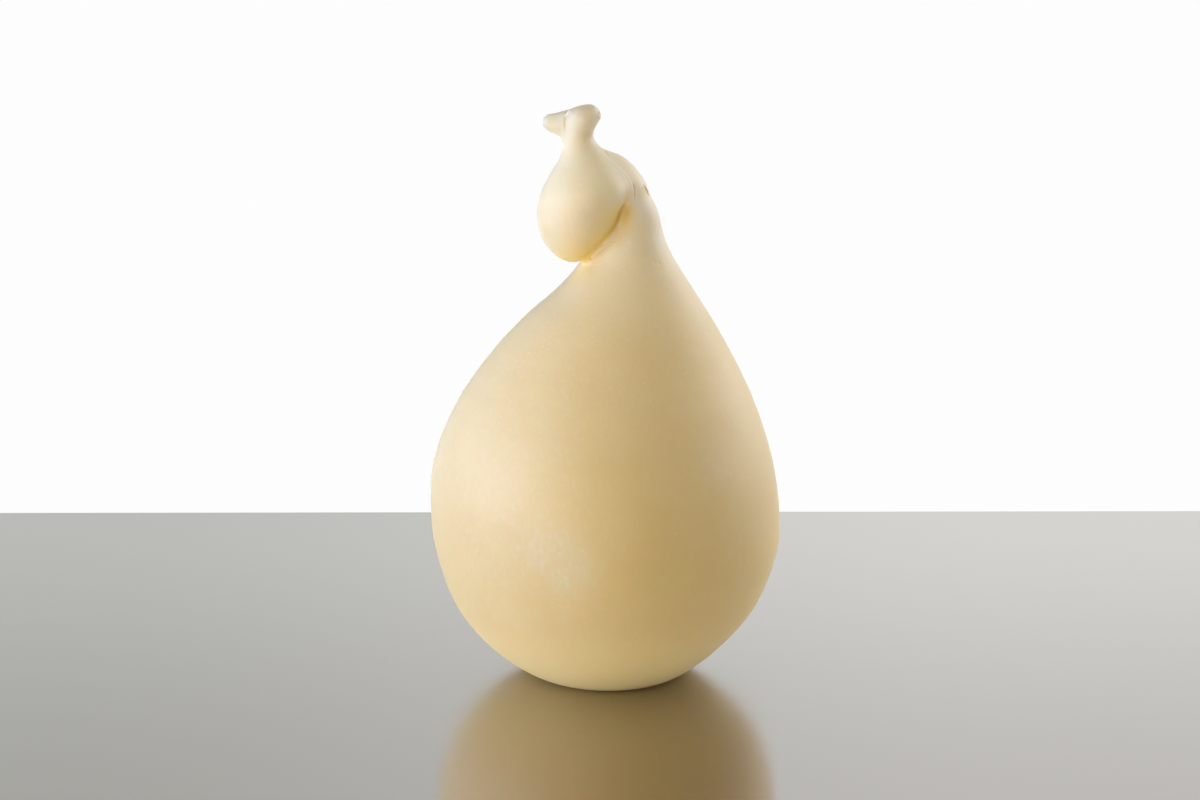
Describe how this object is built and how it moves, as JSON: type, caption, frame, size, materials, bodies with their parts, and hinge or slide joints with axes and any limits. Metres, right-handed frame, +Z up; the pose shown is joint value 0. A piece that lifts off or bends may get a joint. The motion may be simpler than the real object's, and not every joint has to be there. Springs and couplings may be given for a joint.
{
  "type": "caciocavallo cheese",
  "caption": "Pear-shaped stretched-curd cheese with a smooth straw-yellow rind, a head folded over its neck and a pinched tip, standing on its flattened foot.",
  "frame": {"origin": "under the middle of the cheese, at the level of the foot that it stands on", "axes": "+Z up along the cheese, -X towards the side that the head folds to, -Y towards the viewer"},
  "size_m": [0.1476, 0.1472, 0.2418],
  "materials": {
    "rind": "satin, smooth waxy cheese rind, straw yellow, paler at the tip and warmer in the fold"
  },
  "bodies": {
    "root": {"cheese": "rind"}
  },
  "joints": []
}
